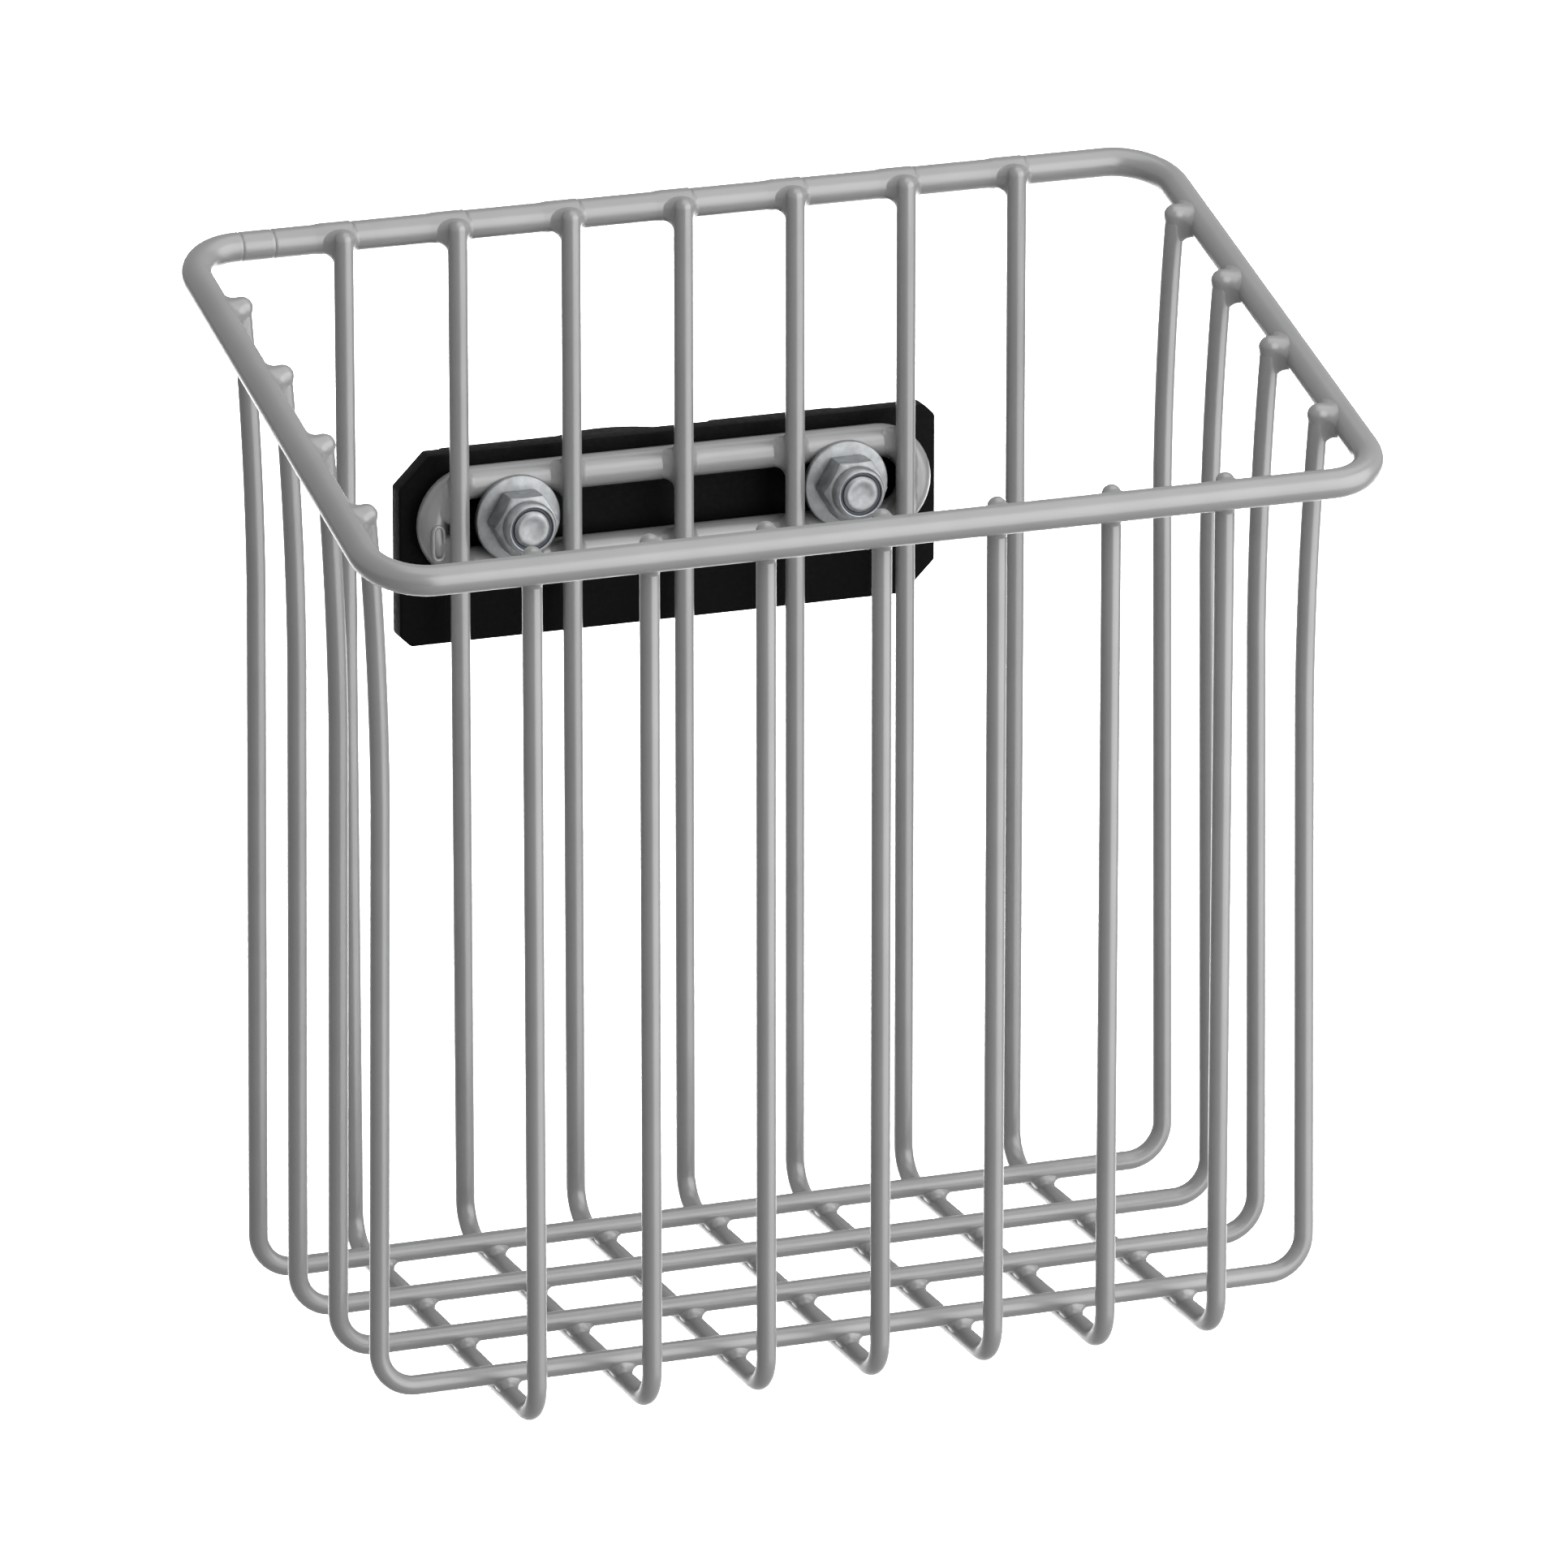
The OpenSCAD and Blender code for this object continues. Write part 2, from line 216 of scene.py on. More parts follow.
def dome(centre, along, r):
    """Closes the selected ring, which lies round the centre, with half a ball"""
    height = 0.0
    wide = 1.0
    for step in range(1, DOME_STEPS):
        angle = math.radians(90 * step / DOME_STEPS)
        next_height = r * math.sin(angle)
        push(along * (next_height - height))
        widen(math.cos(angle) / wide, centre + along * next_height)
        height = next_height
        wide = math.cos(angle)
    push(along * (r - height))
    bpy.ops.mesh.merge(type="CENTER")


def select_open_ring():
    """Selects the edge of the piece's open end"""
    bpy.ops.mesh.select_all(action="DESELECT")
    bpy.ops.mesh.select_non_manifold(extend=False, use_wire=False, use_boundary=True, use_multi_face=False,
                                     use_non_contiguous=False, use_verts=False)


def finish_mesh(smooth_degrees=40):
    """Merges doubles, turns the faces outward and leaves edit mode"""
    bpy.ops.mesh.select_all(action="SELECT")
    bpy.ops.mesh.remove_doubles(threshold=0.000002)
    bpy.ops.mesh.normals_make_consistent(inside=False)
    bpy.ops.object.mode_set(mode="OBJECT")
    bpy.ops.object.shade_smooth_by_angle(angle=math.radians(smooth_degrees))


def activate(piece):
    """Selects one piece alone and makes it the active one"""
    bpy.ops.object.select_all(action="DESELECT")
    piece.select_set(True)
    bpy.context.view_layer.objects.active = piece


def copy_piece(piece, name, move):
    """A copy with its own mesh, moved in the mesh"""
    activate(piece)
    bpy.ops.object.duplicate(linked=False)
    copy = bpy.context.object
    copy.name = name
    copy.location = metres(move)
    bpy.ops.object.transform_apply(location=True, rotation=True, scale=True)
    return copy


def mirror_piece(piece, name):
    """A copy mirrored left to right"""
    activate(piece)
    bpy.ops.object.duplicate(linked=False)
    copy = bpy.context.object
    copy.name = name
    copy.scale = (-1, 1, 1)
    bpy.ops.object.transform_apply(location=True, rotation=True, scale=True)
    bpy.ops.object.mode_set(mode="EDIT")
    finish_mesh()
    return copy


def join(name, parts):
    """Makes one piece of several, with its own name"""
    bpy.ops.object.select_all(action="DESELECT")
    for part in parts:
        part.select_set(True)
    bpy.context.view_layer.objects.active = parts[0]
    if len(parts) > 1:
        bpy.ops.object.join()
    piece = bpy.context.object
    piece.name = name
    return piece


def apply_modifier(piece, kind, **settings):
    """Adds a modifier with its settings and applies it"""
    activate(piece)
    bpy.ops.object.modifier_add(type=kind)
    modifier = piece.modifiers[-1]
    for setting, value in settings.items():
        setattr(modifier, setting, value)
    bpy.ops.object.modifier_apply(modifier=modifier.name)


def combine(piece, tool, operation):
    """Joins, cuts or keeps the common part of a piece and a tool, which is used up"""
    apply_modifier(piece, "BOOLEAN", operation=operation, solver="EXACT", object=tool)
    bpy.data.objects.remove(tool)


def widen_round_y(factor, centre):
    """Scales the selected ring across an axis along Y"""
    bpy.ops.transform.resize(value=(factor, 1, factor), center_override=metres(centre))


def turned(name, x, z, profile, sides=64):
    """Turns a profile of (radius, y) points round an axis along Y; a profile that returns to its start
    makes a ring, and any other gets flat ends"""
    first_r, first_y = profile[0]
    piece = start_ring(name, (x, first_y, z), Y, first_r, sides)
    last_r, last_y = first_r, first_y
    for r, y in profile[1:]:
        push(Y * (y - last_y))
        if r != last_r:
            widen_round_y(r / last_r, (x, y, z))
        last_r, last_y = r, y
    if profile[-1] != profile[0]:
        bpy.ops.mesh.edge_face_add()
        select_open_ring()
        bpy.ops.mesh.edge_face_add()
    finish_mesh()
    return piece


def hex_bar(name, x, z, af, y_from, y_to):
    """A hexagonal bar along Y with flats at the top and bottom"""
    bpy.ops.object.select_all(action="DESELECT")
    bpy.ops.mesh.primitive_cylinder_add(
        vertices=6, radius=af / math.sqrt(3) / 1000, depth=(y_to - y_from) / 1000,
        location=metres((x, (y_from + y_to) / 2, z)), rotation=(math.radians(90), math.radians(30), 0))
    piece = bpy.context.object
    piece.name = name
    bpy.ops.object.transform_apply(location=True, rotation=True, scale=True)
    return piece


def block(name, low, high):
    """A box between two corners"""
    low = Vector(low)
    high = Vector(high)
    bpy.ops.object.select_all(action="DESELECT")
    bpy.ops.mesh.primitive_cube_add(size=1, location=metres((low + high) / 2), scale=metres(high - low))
    piece = bpy.context.object
    piece.name = name
    bpy.ops.object.transform_apply(location=True, rotation=True, scale=True)
    return piece


def cut_corner(piece, point, outward):
    """Cuts off what lies beyond a plane and closes the cut"""
    activate(piece)
    bpy.ops.object.mode_set(mode="EDIT")
    bpy.ops.mesh.select_all(action="SELECT")
    bpy.ops.mesh.bisect(plane_co=metres(point), plane_no=outward, use_fill=True, clear_outer=True)
    bpy.ops.object.mode_set(mode="OBJECT")


def dress(piece, material, slot, body, *nodes):
    """Gives a piece its finish, its body and the nodes that it stands for"""
    piece.data.materials.clear()
    piece.data.materials.append(material)
    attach(piece, body)
    if nodes:
        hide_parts(*nodes)


# Finishes

def linear(hex_colour):
    """An sRGB hex colour as linear red, green, blue and alpha"""
    channels = [int(hex_colour[i:i + 2], 16) / 255 for i in (1, 3, 5)]
    return [c / 12.92 if c <= 0.04045 else ((c + 0.055) / 1.055) ** 2.4 for c in channels] + [1.0]


def new_material(name, colour, roughness, metallic):
    material = bpy.data.materials.new(name)
    material.use_nodes = True
    shader = material.node_tree.nodes["Principled BSDF"]
    shader.inputs["Base Color"].default_value = linear(colour)
    shader.inputs["Roughness"].default_value = roughness
    shader.inputs["Metallic"].default_value = metallic
    return material, shader


def add_node(material, kind, inputs=(), **settings):
    """Adds a node; inputs maps a socket's name to a value or to another node's output"""
    node = material.node_tree.nodes.new(kind)
    for setting, value in settings.items():
        setattr(node, setting, value)
    for socket, value in dict(inputs).items():
        if isinstance(value, bpy.types.NodeSocket):
            material.node_tree.links.new(value, node.inputs[socket])
        else:
            node.inputs[socket].default_value = value
    return node


def noise(material, size_mm, detail=2.0, roughness=0.5):
    """Noise whose features are about that many millimetres across"""
    place = add_node(material, "ShaderNodeTexCoord")
    return add_node(material, "ShaderNodeTexNoise", {
        "Vector": place.outputs["Object"], "Scale": 1000 / size_mm, "Detail": detail, "Roughness": roughness})


def vary(material, shader, socket, texture, low, high):
    """Lets a texture move a shader's socket between two values"""
    spread = add_node(material, "ShaderNodeMapRange", {
        "Value": texture.outputs["Fac"], "From Min": 0.3, "From Max": 0.7, "To Min": low, "To Max": high})
    material.node_tree.links.new(spread.outputs["Result"], shader.inputs[socket])


def tint(material, shader, texture, first, second):
    """Lets a texture move the base colour between two colours"""
    ramp = add_node(material, "ShaderNodeValToRGB", {"Fac": texture.outputs["Fac"]})
    ramp.color_ramp.elements[0].position = 0.35
    ramp.color_ramp.elements[0].color = linear(first)
    ramp.color_ramp.elements[1].position = 0.65
    ramp.color_ramp.elements[1].color = linear(second)
    material.node_tree.links.new(ramp.outputs["Color"], shader.inputs["Base Color"])


def bump(material, shader, texture, depth_mm, strength):
    relief = add_node(material, "ShaderNodeBump", {
        "Height": texture.outputs["Fac"], "Distance": depth_mm / 1000, "Strength": strength})
    material.node_tree.links.new(relief.outputs["Normal"], shader.inputs["Normal"])


def powder_coat():
    """Grey satin powder coat over steel: soft highlights on a smooth skin. The real coat's grain is too
    fine to show, so it is drawn far coarser, as a slow and slight change of tone and gloss"""
    material, shader = new_material("satin_powder_coat", "#8e8e8e", 0.3, 0.3)
    tint(material, shader, noise(material, 12.0, 1.0), "#8e8e8e", "#919191")
    vary(material, shader, "Roughness", noise(material, 15.0, 1.0), 0.28, 0.31)
    return material


def zinc_plate():
    """Bright zinc plate: a cold light grey metal with a cloudy sheen"""
    material, shader = new_material("zinc_plated_steel", "#96989a", 0.44, 0.9)
    tint(material, shader, noise(material, 2.5, 3.0), "#8d8f90", "#a2a4a6")
    vary(material, shader, "Roughness", noise(material, 1.5), 0.38, 0.5)
    bump(material, shader, noise(material, 0.5, 2.0), 0.03, 0.15)
    return material


def black_nylon():
    """Matte black moulded nylon with a fine moulded grain"""
    material, shader = new_material("moulded_black_nylon", "#030303", 0.7, 0.0)
    shader.inputs["Specular IOR Level"].default_value = 0.1
    vary(material, shader, "Roughness", noise(material, 1.2), 0.56, 0.68)
    bump(material, shader, noise(material, 0.35, 2.0), 0.04, 0.3)
    return material


def dark_nylon():
    """The dark nylon ring that locks the nut's thread"""
    material, shader = new_material("dark_nylon_ring", "#474c55", 0.5, 0.0)
    vary(material, shader, "Roughness", noise(material, 0.8), 0.44, 0.56)
    return material


def turned_brass():
    """Plain turned brass"""
    material, shader = new_material("turned_brass", "#b8923f", 0.32, 1.0)
    vary(material, shader, "Roughness", noise(material, 1.0), 0.26, 0.38)
    return material


def black_oxide():
    """Black oxide steel: nearly black metal with a dull oily sheen"""
    material, shader = new_material("black_oxide_steel", "#26262a", 0.42, 0.9)
    vary(material, shader, "Roughness", noise(material, 0.9), 0.34, 0.5)
    bump(material, shader, noise(material, 0.4), 0.02, 0.15)
    return material


coat = powder_coat()
zinc = zinc_plate()
nylon = black_nylon()
ring_nylon = dark_nylon()
brass = turned_brass()
oxide = black_oxide()


# The basket's wires

def rim_z_at(y):
    """Height of the rim's centre line above a place across the depth"""
    return RIM_CENTRE.z + (y - RIM_CENTRE.y) * math.tan(RIM_SLOPE)


def rim_axis(slant_distance):
    """The y and z of the rim's centre line at a distance from its middle, up the slant"""
    y = RIM_CENTRE.y + slant_distance * math.cos(RIM_SLOPE)
    z = RIM_CENTRE.z + slant_distance * math.sin(RIM_SLOPE)
    return y, z


def swell(start, along, steps, r):
    """Pushes the selected ring from its start along a run; steps are (place, radius) pairs on the way"""
    place = 0.0
    for next_place, next_r in steps:
        push(along * (next_place - place))
        widen(next_r / r, start + along * next_place)
        place = next_place
        r = next_r


def rear_run_steps(start_x, end_x):
    """The rear run's radius from place to place: a swelling and a groove at each weld, and two seams"""
    marks = []
    for seam_x in SEAM_XS:
        marks += [(seam_x - 2 * SEAM_W, RIM_R), (seam_x - SEAM_W, RIM_R), (seam_x, RIM_R - SEAM_DEPTH),
                  (seam_x + SEAM_W, RIM_R), (seam_x + 2 * SEAM_W, RIM_R)]
    for x in wire_xs:
        groove_x = x + WIRE_R + GROOVE_GAP
        marks += [(x + place, RIM_R + SWELLING * share) for place, share in SWELLING_STEPS]
        marks += [(groove_x - 2 * SEAM_W, RIM_R + SWELLING), (groove_x - SEAM_W, RIM_R + SWELLING),
                  (groove_x, RIM_R - SEAM_DEPTH), (groove_x + SEAM_W, RIM_R), (groove_x + 2 * SEAM_W, RIM_R)]
    steps = [(x - start_x, r) for x, r in sorted(marks) if start_x < x < end_x]
    return steps + [(end_x - start_x, RIM_R)]


def rim_hoop():
    """A closed rounded rectangle of rod in a slanted plane, begun at the left end of its rear run"""
    slant = Vector((0, math.cos(RIM_SLOPE), math.sin(RIM_SLOPE)))
    normal = X.cross(slant)
    straight_x = RIM_HALF_W - RIM_CORNER_R
    straight_d = RIM_HALF_D - RIM_CORNER_R
    start = RIM_CENTRE - X * straight_x + slant * RIM_HALF_D
    piece = start_ring("rim_rod", start, X, RIM_R)
    swell(start, X, rear_run_steps(-straight_x, straight_x), RIM_R)
    bend(-90, RIM_CENTRE + X * straight_x + slant * straight_d, normal)
    push(-slant * 2 * straight_d)
    bend(-90, RIM_CENTRE + X * straight_x - slant * straight_d, normal)
    push(-X * 2 * straight_x)
    bend(-90, RIM_CENTRE - X * straight_x - slant * straight_d, normal)
    push(slant * 2 * straight_d)
    bend(-90, RIM_CENTRE - X * straight_x + slant * straight_d, normal)
    finish_mesh()
    return piece


def front_back_wire(name, x):
    """A U of wire across the depth with a rounded top on each leg"""
    bend_z = FRONT_BACK_Z + WIRE_BEND_R
    rear_top = Vector((x, REAR_LEG_Y, REAR_TOP_Z))
    front_top = Vector((x, FRONT_LEG_Y, FRONT_TOP_Z))
    piece = start_ring(name, rear_top, Z, WIRE_R)
    push(-Z * (REAR_TOP_Z - bend_z))
    bend(-90, (x, REAR_LEG_Y - WIRE_BEND_R, bend_z), X)
    push(-Y * (REAR_LEG_Y - FRONT_LEG_Y - 2 * WIRE_BEND_R))
    bend(-90, (x, FRONT_LEG_Y + WIRE_BEND_R, bend_z), X)
    push(Z * (FRONT_TOP_Z - bend_z))
    dome(front_top, Z, WIRE_R)
    select_open_ring()
    dome(rear_top, Z, WIRE_R)
    finish_mesh()
    return piece


def side_leg_points(y):
    """Points up a right-hand leg, from its bend to the rounded end, with a smooth flare at the top"""
    bend_z = SIDE_BOTTOM_Z + SIDE_BEND_R
    top_z = rim_z_at(y) + SIDE_END_RISE
    points = [Vector((SIDE_HALF_BOTTOM, y, bend_z)), Vector((SIDE_HALF_WAIST, y, top_z - FLARE_LEN))]
    for step in range(1, FLARE_STEPS + 1):
        share = step / FLARE_STEPS
        x = SIDE_HALF_WAIST + (SIDE_HALF_TOP - SIDE_HALF_WAIST) * share ** 2
        points.append(Vector((x, y, top_z - FLARE_LEN * (1 - share))))
    return points


def side_wire(name, y):
    """A U of wire across the width, whose legs lean in and flare out again at the rim"""
    up = side_leg_points(y)
    down = [Vector((-p.x, p.y, p.z)) for p in reversed(up)]
    bend_z = up[0].z
    piece = start_ring(name, down[0], Z, WIRE_R)
    for here, there in zip(down, down[1:]):
        push(there - here)
    bend(-90, (-SIDE_HALF_BOTTOM + SIDE_BEND_R, y, bend_z), Y)
    push(X * 2 * (SIDE_HALF_BOTTOM - SIDE_BEND_R))
    bend(-90, (SIDE_HALF_BOTTOM - SIDE_BEND_R, y, bend_z), Y)
    for here, there in zip(up, up[1:]):
        push(there - here)
    dome(up[-1], Z, WIRE_R)
    select_open_ring()
    dome(down[0], Z, WIRE_R)
    finish_mesh()
    return piece


def mounting_loop():
    """A long closed loop of rod, flat in X and Z"""
    centre = Vector((0, LOOP_Y, LOOP_Z))
    piece = start_ring("mounting_loop_rod", centre + Z * LOOP_END_R, X, LOOP_R)
    push(X * LOOP_HALF_STRAIGHT)
    bend(180, centre + X * LOOP_HALF_STRAIGHT, Y, LOOP_END_STEPS)
    push(-X * 2 * LOOP_HALF_STRAIGHT)
    bend(180, centre - X * LOOP_HALF_STRAIGHT, Y, LOOP_END_STEPS)
    push(X * LOOP_HALF_STRAIGHT)
    finish_mesh()
    return piece


def oval_bead():
    """An oval weld bead, half sunk in the front of the loop's left end"""
    bpy.ops.object.select_all(action="DESELECT")
    upright = (math.radians(90), 0, 0)
    bpy.ops.curve.primitive_bezier_circle_add(radius=0.001, location=(0, 0, 0), rotation=upright)
    piece = bpy.context.object
    piece.data.bevel_depth = BEAD_R / 1000
    piece.data.bevel_resolution = 3
    piece.data.resolution_u = 10
    bpy.ops.object.transform_apply(location=True, rotation=True, scale=True)
    bpy.ops.object.mode_set(mode="EDIT")
    bpy.ops.curve.select_all(action="SELECT")
    bpy.ops.transform.resize(value=(BEAD_HALF_W, 1, BEAD_HALF_H))
    bpy.ops.object.mode_set(mode="OBJECT")
    bpy.ops.object.convert(target="MESH")
    bead = copy_piece(piece, "oval_bead", BEAD_PLACE)
    bpy.data.objects.remove(piece)
    activate(bead)
    bpy.ops.object.shade_smooth()
    return bead


wire_xs = [(number - 4) * WIRE_PITCH for number in range(1, 8)]
side_ys = [FIRST_SIDE_Y - number * SIDE_PITCH for number in range(4)]

rim = rim_hoop()
dress(rim, coat, "coated_steel", "basket", "rim_hoop")

middle_wire = front_back_wire("wire_in_the_middle", 0)
for number, x in enumerate(wire_xs, 1):
    wire = copy_piece(middle_wire, f"wire_{number}", (x, 0, 0))
    dress(wire, coat, "coated_steel", "basket", f"front_back_wire_{number}")
bpy.data.objects.remove(middle_wire)

for number, y in enumerate(side_ys, 1):
    wire = side_wire(f"cross_wire_{number}", y)
    dress(wire, coat, "coated_steel", "basket", f"side_wire_{number}")

loop = join("mounting_loop_rod", [mounting_loop(), oval_bead()])
dress(loop, coat, "coated_steel", "basket", "mounting_loop")


# The powder coating runs together where wires are welded, and fills the corners between them

def stout_rod(start, end, r):
    """A rod with domed ends"""
    start = Vector(start)
    end = Vector(end)
    along = (end - start).normalized()
    piece = start_ring("stout_rod", start, along, r, STOUT_SIDES)
    push(end - start)
    dome(end, along, r)
    select_open_ring()
    dome(start, -along, r)
    finish_mesh()
    return piece


def stout_arc(centre, arc_r, from_angle, to_angle, r):
    """A bent rod with domed ends in the plane of X and Z; its angles run from +X towards +Z"""
    first = math.radians(from_angle)
    last = math.radians(to_angle)
    start = centre + Vector((math.cos(first), 0, math.sin(first))) * arc_r
    end = centre + Vector((math.cos(last), 0, math.sin(last))) * arc_r
    start_along = Vector((-math.sin(first), 0, math.cos(first)))
    end_along = Vector((-math.sin(last), 0, math.cos(last)))
    piece = start_ring("stout_arc", start, start_along, r, STOUT_SIDES)
    bend(-(to_angle - from_angle), centre, Y)
    dome(end, end_along, r)
    select_open_ring()
    dome(start, -start_along, r)
    finish_mesh()
    return piece


def coating_web(name, stout_rods, web_r, faces):
    """Rods grown by web_r and shrunk back by it, so that only the filled corners stand out of the wires"""
    web = join(name, stout_rods)
    apply_modifier(web, "REMESH", mode="VOXEL", voxel_size=GROWN_GRAIN / 1000)
    apply_modifier(web, "SMOOTH", iterations=6)
    apply_modifier(web, "DISPLACE", strength=-(web_r + WEB_SINK) / 1000, mid_level=0)
    apply_modifier(web, "REMESH", mode="VOXEL", voxel_size=SHRUNK_GRAIN / 1000)
    apply_modifier(web, "SMOOTH", iterations=5)
    apply_modifier(web, "DECIMATE", ratio=faces / len(web.data.polygons))
    activate(web)
    bpy.ops.object.shade_smooth()
    return web


def copies(piece, name, moves):
    """The piece and its copies, joined"""
    return join(name, [piece] + [copy_piece(piece, name, move) for move in moves])


def floor_webs():
    """The coating where the side-to-side wires cross the front-to-back wires"""
    reach = FLOOR_WEB_R + WIRE_R + WEB_MARGIN
    r = WIRE_R + FLOOR_WEB_R
    y = side_ys[0]
    web = coating_web("floor_coating", [
        stout_rod((-reach, y, SIDE_BOTTOM_Z), (reach, y, SIDE_BOTTOM_Z), r),
        stout_rod((0, y - reach, FRONT_BACK_Z), (0, y + reach, FRONT_BACK_Z), r)],
        FLOOR_WEB_R, FLOOR_WEB_FACES)
    return copies(web, "floor_coating",
                  [(x, other_y - y, 0) for x in wire_xs for other_y in side_ys if x != 0 or other_y != y])


def end_webs(name, leg_y, top_z, rod_y, rod_z):
    """The coating between the rim and the ends of the seven front-to-back wires, at the front or the back"""
    reach = RIM_WEB_R + WIRE_R + WEB_MARGIN
    web = coating_web(name, [
        stout_rod((0, leg_y, rod_z - RIM_R - RIM_WEB_R), (0, leg_y, top_z), WIRE_R + RIM_WEB_R),
        stout_rod((-reach, rod_y, rod_z), (reach, rod_y, rod_z), RIM_R + RIM_WEB_R)],
        RIM_WEB_R, LARGE_WEB_FACES)
    return copies(web, name, [(x, 0, 0) for x in wire_xs if x != 0])


def side_webs():
    """The coating between the rim and the ends of the side-to-side wires, with a rounded cap on each end"""
    y = side_ys[0]
    points = side_leg_points(y)
    top = points[-1]
    down = (points[-2] - top).normalized()
    slant = Vector((0, math.cos(RIM_SLOPE), math.sin(RIM_SLOPE)))
    rim_point = Vector((RIM_HALF_W, y, rim_z_at(y)))
    reach = RIM_WEB_R + WIRE_R + WEB_MARGIN
    cap_r = WIRE_R + CAP_SWELLING
    web = coating_web("side_coating", [
        stout_rod(top + down * (RIM_R + RIM_WEB_R), top, WIRE_R + RIM_WEB_R),
        stout_rod(top, rim_point, cap_r + RIM_WEB_R),
        stout_rod(rim_point - slant * reach, rim_point + slant * reach, RIM_R + RIM_WEB_R)],
        RIM_WEB_R, LARGE_WEB_FACES)
    moves = [(0, other_y - y, rim_z_at(other_y) - rim_z_at(y)) for other_y in side_ys[1:]]
    right = copies(web, "side_coating", moves)
    return join("side_coating", [right, mirror_piece(right, "side_coating_left")])


def loop_webs():
    """The coating where the rear legs cross the loop's straight rods and its rounded ends"""
    upper_z = LOOP_Z + LOOP_END_R
    reach = LOOP_WEB_R + WIRE_R + WEB_MARGIN
    leg_reach = LOOP_WEB_R + LOOP_R + WEB_MARGIN
    leg_low = (0, REAR_LEG_Y, upper_z - leg_reach)
    leg_high = (0, REAR_LEG_Y, upper_z + leg_reach)
    upper = coating_web("loop_coating", [
        stout_rod(leg_low, leg_high, WIRE_R + LOOP_WEB_R),
        stout_rod((-reach, LOOP_Y, upper_z), (reach, LOOP_Y, upper_z), LOOP_R + LOOP_WEB_R)],
        LOOP_WEB_R, LARGE_WEB_FACES)
    rows = [(x, 0, drop) for x in (-WIRE_PITCH, 0, WIRE_PITCH) for drop in (0, -2 * LOOP_END_R) if x or drop]
    straight = copies(upper, "loop_coating", rows)
    leg_x = 2 * WIRE_PITCH
    rise = math.sqrt(LOOP_END_R ** 2 - (leg_x - LOOP_HALF_STRAIGHT) ** 2)
    angle = math.degrees(math.asin(rise / LOOP_END_R))
    centre = Vector((LOOP_HALF_STRAIGHT, LOOP_Y, LOOP_Z))
    leg_reach = LOOP_END_WEB_R + LOOP_R
    ends = []
    for side in (1, -1):
        z = LOOP_Z + side * rise
        middle = side * angle
        ends.append(coating_web("loop_end_coating", [
            stout_rod((leg_x, REAR_LEG_Y, z - leg_reach), (leg_x, REAR_LEG_Y, z + leg_reach),
                      WIRE_R + LOOP_END_WEB_R),
            stout_arc(centre, LOOP_END_R, middle - END_ARC, middle + END_ARC, LOOP_R + LOOP_END_WEB_R)],
            LOOP_END_WEB_R, LOOP_END_WEB_FACES))
    right = join("loop_end_coating", ends)
    left = mirror_piece(right, "loop_end_coating_left")
    return join("loop_coating", [straight, right, left])


webs = [
    floor_webs(),
    end_webs("rear_rim_coating", REAR_LEG_Y, REAR_TOP_Z, *rim_axis(RIM_HALF_D)),
    end_webs("front_rim_coating", FRONT_LEG_Y, FRONT_TOP_Z, *rim_axis(-RIM_HALF_D)),
    side_webs(),
    loop_webs()]
for web in webs:
    dress(web, coat, "coated_steel", "basket")


# The bolts, washers and nuts

def lock_nut(name, x):
    """A chamfered hexagon with a rounded collar that is rolled in over the nylon ring"""
    corner_r = HEX_AF / math.sqrt(3)
    face_r = HEX_AF / 2 * 0.96
    rise = (corner_r - face_r) * math.tan(math.radians(30))
    hexagon = hex_bar(name, x, BOLT_Z, HEX_AF, NUT_HEX_Y, WASHER_FRONT_Y)
    envelope = turned("envelope", x, BOLT_Z, [
        (face_r, NUT_HEX_Y),
        (corner_r + 0.1, NUT_HEX_Y + rise),
        (corner_r + 0.1, WASHER_FRONT_Y - rise),
        (face_r, WASHER_FRONT_Y)])
    combine(hexagon, envelope, "INTERSECT")
    hole = turned("hole", x, BOLT_Z, [(BOLT_R + THREAD_FIT, NUT_HEX_Y - 1), (BOLT_R + THREAD_FIT, -30)])
    combine(hexagon, hole, "DIFFERENCE")
    front = COLLAR_Y
    collar = turned("collar", x, BOLT_Z, [
        (COLLAR_R, NUT_HEX_Y + 0.2),
        (COLLAR_R, front + 1.0),
        (COLLAR_R - 0.15, front + 0.55),
        (COLLAR_R - 0.4, front + 0.2),
        (COLLAR_R - 0.75, front + 0.02),
        (RING_R - 0.05, front),
        (RING_R - 0.25, front + 0.2),
        (RING_R - 0.2, front + 0.5),
        (RING_R, front + 0.6),
        (RING_R, NUT_HEX_Y + 0.2),
        (COLLAR_R, NUT_HEX_Y + 0.2)])
    nut = join(name, [hexagon, collar])
    apply_modifier(nut, "BEVEL", width=NUT_EDGE / 1000, segments=2, limit_method="ANGLE",
                   angle_limit=math.radians(40))
    bpy.ops.object.shade_smooth_by_angle(angle=math.radians(35))
    return nut


def washer(name, x):
    """A flat washer with slightly rounded edges"""
    edge = 0.3
    return turned(name, x, BOLT_Z, [
        (WASHER_HOLE_R, WASHER_BACK_Y),
        (WASHER_R - edge, WASHER_BACK_Y),
        (WASHER_R - 0.1, WASHER_BACK_Y - 0.1),
        (WASHER_R, WASHER_BACK_Y - edge),
        (WASHER_R, WASHER_FRONT_Y + edge),
        (WASHER_R - 0.1, WASHER_FRONT_Y + 0.1),
        (WASHER_R - edge, WASHER_FRONT_Y),
        (WASHER_HOLE_R + 0.2, WASHER_FRONT_Y),
        (WASHER_HOLE_R, WASHER_FRONT_Y + 0.2),
        (WASHER_HOLE_R, WASHER_BACK_Y)])


